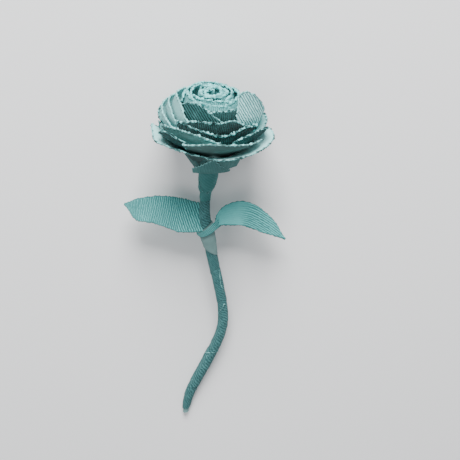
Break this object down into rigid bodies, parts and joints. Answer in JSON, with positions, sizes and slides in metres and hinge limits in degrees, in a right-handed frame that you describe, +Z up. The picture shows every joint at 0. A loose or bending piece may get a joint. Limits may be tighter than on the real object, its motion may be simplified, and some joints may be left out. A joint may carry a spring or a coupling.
{
  "type": "crepe paper rose",
  "caption": "Long-stemmed rose rolled and cut from ribbed crepe paper, with a wrapped wire stem bent in a gentle S, a calyx and a pair of leaves.",
  "frame": {"origin": "on the surface the rose lies on, under the middle of its outline box", "axes": "+Y along the stem towards the flower, +Z up from the surface, +X to the side of the leaf with the arched blade"},
  "size_m": [0.091, 0.2098, 0.0687],
  "materials": {
    "crepe_petal": "matt crepe paper with fine ribs",
    "crepe_centre": "matt crepe paper with fine ribs",
    "crepe_leaf": "matt crepe paper with fine ribs",
    "crepe_stem": "matt crepe paper with fine ribs",
    "crepe_calyx": "matt crepe paper with fine ribs",
    "wire_steel": "bare drawn wire"
  },
  "bodies": {
    "root": {"stem_wire": "wire_steel", "stem_core": "crepe_stem", "foot_wrap": "crepe_stem", "lower_wrap": "crepe_stem", "middle_wrap": "crepe_stem", "joint_wrap": "crepe_stem", "leaf_band": "crepe_stem", "upper_wrap": "crepe_stem", "neck_wrap": "crepe_stem", "centre_roll": "crepe_centre", "inner_petal_1": "crepe_centre", "inner_petal_2": "crepe_centre", "inner_petal_3": "crepe_centre", "ring_petal_1": "crepe_centre", "ring_petal_2": "crepe_centre", "ring_petal_3": "crepe_centre", "wrap_petal_front": "crepe_petal", "wrap_petal_left_front": "crepe_petal", "wrap_petal_left": "crepe_petal", "wrap_petal_right": "crepe_petal", "wrap_petal_back": "crepe_petal", "mid_petal_front": "crepe_petal", "mid_petal_left": "crepe_petal", "mid_petal_back": "crepe_petal", "full_petal_front": "crepe_petal", "full_petal_left": "crepe_petal", "full_petal_back": "crepe_petal", "full_petal_left_front": "crepe_petal", "full_petal_right": "crepe_petal", "outer_petal_front": "crepe_petal", "outer_petal_left": "crepe_petal", "outer_petal_back_left": "crepe_petal", "outer_petal_back_right": "crepe_petal", "guard_petal_left": "crepe_petal", "guard_petal_right": "crepe_petal", "guard_petal_back_left": "crepe_petal", "guard_petal_back_right": "crepe_petal", "sepal_1": "crepe_calyx", "sepal_2": "crepe_calyx", "sepal_3": "crepe_calyx", "sepal_4": "crepe_calyx", "sepal_5": "crepe_calyx", "leaf_left": "crepe_leaf", "leaf_right": "crepe_leaf"}
  },
  "joints": []
}
